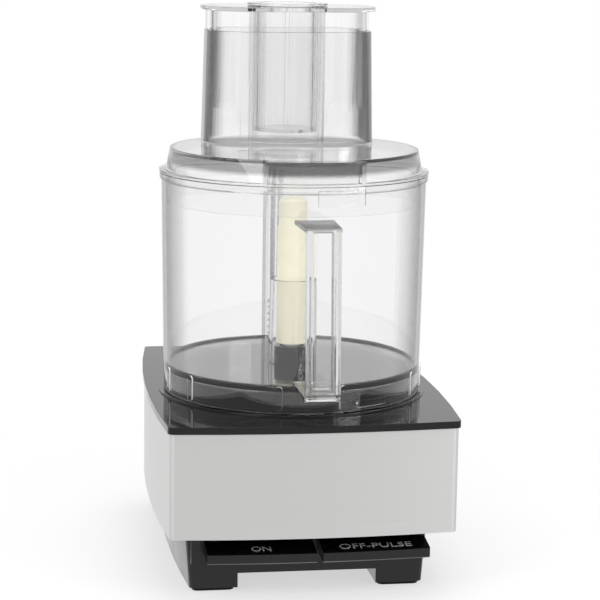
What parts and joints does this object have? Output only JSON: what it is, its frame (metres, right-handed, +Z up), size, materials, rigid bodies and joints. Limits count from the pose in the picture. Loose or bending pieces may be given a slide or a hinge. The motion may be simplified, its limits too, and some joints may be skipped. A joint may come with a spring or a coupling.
{
  "type": "food processor",
  "caption": "Countertop food processor: steel-wrapped drive base with press levers, clear twist-lock bowl with front handle, cover with wide feed tube and nested pushers.",
  "frame": {"origin": "at the floor under the feet, below the middle of the whole; the bowl's axis stands 9.7 mm in front of it", "axes": "+Z up, -Y towards the handle and the levers, +X to the right seen from the front"},
  "size_m": [0.198, 0.2842, 0.378],
  "materials": {
    "gloss_black": "polished black plastic",
    "stainless": "brushed along the panel",
    "satin_black": "satin black plastic",
    "rubber_black": "matt rubber",
    "steel": "plain steel",
    "laminate": "stacked steel sheets",
    "copper": "enamelled copper winding",
    "alloy": "die-cast",
    "switch_black": "moulded",
    "switch_white": "moulded",
    "board_green": "laminate board",
    "capacitor_grey": "moulded can",
    "ivory": "cream moulded plastic",
    "clear": "clear plastic"
  },
  "bodies": {
    "base": {"base_housing": "gloss_black", "drive_drum": "gloss_black", "wrap_panel": "stainless", "rear_cover": "satin_black", "cord_gland": "rubber_black", "lower_base": "satin_black", "foot_front_left": "rubber_black", "foot_front_right": "rubber_black", "foot_back_left": "rubber_black", "foot_back_right": "rubber_black", "base_screw_1": "steel", "base_screw_2": "steel", "base_screw_3": "steel", "base_screw_4": "steel", "rear_screw_1": "steel", "rear_screw_2": "steel", "lever_rod": "steel", "switch_on": "switch_black", "switch_off": "switch_black", "stator_core": "laminate", "winding_top": "copper", "winding_bottom": "copper", "upper_bracket": "alloy", "lower_bracket": "alloy", "bearing_top": "steel", "bearing_bottom": "steel", "motor_bolt_1": "steel", "motor_bolt_2": "steel", "motor_bolt_3": "steel", "motor_bolt_4": "steel", "rubber_mount_1": "rubber_black", "rubber_mount_2": "rubber_black", "rubber_mount_3": "rubber_black", "rubber_mount_4": "rubber_black", "shaft_seal": "rubber_black", "capacitor": "capacitor_grey", "control_board": "board_green", "relay": "switch_black", "interlock_switch": "switch_black"},
    "drive": {"rotor_core": "laminate", "drive_shaft": "steel", "cooling_fan": "switch_black", "disc_stem": "ivory"},
    "lever_on": {"lever_on": "satin_black"},
    "lever_off": {"lever_off": "satin_black"},
    "plunger_on": {"plunger_on": "switch_white"},
    "plunger_off": {"plunger_off": "switch_white"},
    "interlock_plunger": {"interlock_plunger": "switch_white"},
    "bowl": {"work_bowl": "clear", "bowl_chimney": "clear", "bowl_handle": "clear", "rod_channel": "clear", "rod_spring": "steel"},
    "interlock_rod": {"interlock_rod": "steel"},
    "cover": {"cover_lid": "clear", "rod_tab": "clear", "feed_tube": "clear"},
    "large_pusher": {"large_pusher": "clear"},
    "small_pusher": {"small_pusher": "clear"}
  },
  "joints": [
    {"name": "drive_spin", "type": "hinge", "parent": "base", "child": "drive", "pos_m": [0, -0.0097, 0.1], "axis": [0, 0, 1], "continuous": true},
    {"name": "lever_on_press", "type": "hinge", "parent": "base", "child": "lever_on", "pos_m": [0, -0.0717, 0.03], "axis": [1, 0, 0], "range_deg": [0, 4], "stiffness_Nm_per_rad": 1.2, "springref_deg": -4.58},
    {"name": "lever_off_press", "type": "hinge", "parent": "base", "child": "lever_off", "pos_m": [0, -0.0717, 0.03], "axis": [1, 0, 0], "range_deg": [0, 4], "stiffness_Nm_per_rad": 1.2, "springref_deg": -4.58},
    {"name": "plunger_on_slide", "type": "slide", "parent": "base", "child": "plunger_on", "axis": [0, 0, -1], "range_m": [0, 0.0007]},
    {"name": "plunger_off_slide", "type": "slide", "parent": "base", "child": "plunger_off", "axis": [0, 0, -1], "range_m": [0, 0.0007]},
    {"name": "bowl_turn", "type": "hinge", "parent": "base", "child": "bowl", "pos_m": [0, -0.0097, 0.12], "axis": [0, 0, 1], "range_deg": [-25, 0]},
    {"name": "rod_slide", "type": "slide", "parent": "bowl", "child": "interlock_rod", "axis": [0, 0, -1], "range_m": [0, 0.004], "stiffness_N_per_m": 120, "springref_m": -0.006, "deforming": ["rod_spring"]},
    {"name": "interlock_plunger_slide", "type": "slide", "parent": "base", "child": "interlock_plunger", "axis": [0, 0, -1], "range_m": [0, 0.004]},
    {"name": "cover_lift", "type": "slide", "parent": "bowl", "child": "cover", "axis": [0, 0, 1], "range_m": [0, 0.11]},
    {"name": "large_pusher_lift", "type": "slide", "parent": "cover", "child": "large_pusher", "axis": [0, 0, 1], "range_m": [0, 0.1]},
    {"name": "small_pusher_lift", "type": "slide", "parent": "large_pusher", "child": "small_pusher", "axis": [0, 0, 1], "range_m": [0, 0.1]}
  ],
  "couplings": [
    {"joint": "plunger_on_slide", "follows": "lever_on_press", "m_per_rad": 0.01},
    {"joint": "plunger_off_slide", "follows": "lever_off_press", "m_per_rad": 0.01},
    {"joint": "interlock_plunger_slide", "follows": "rod_slide", "ratio": 1}
  ]
}
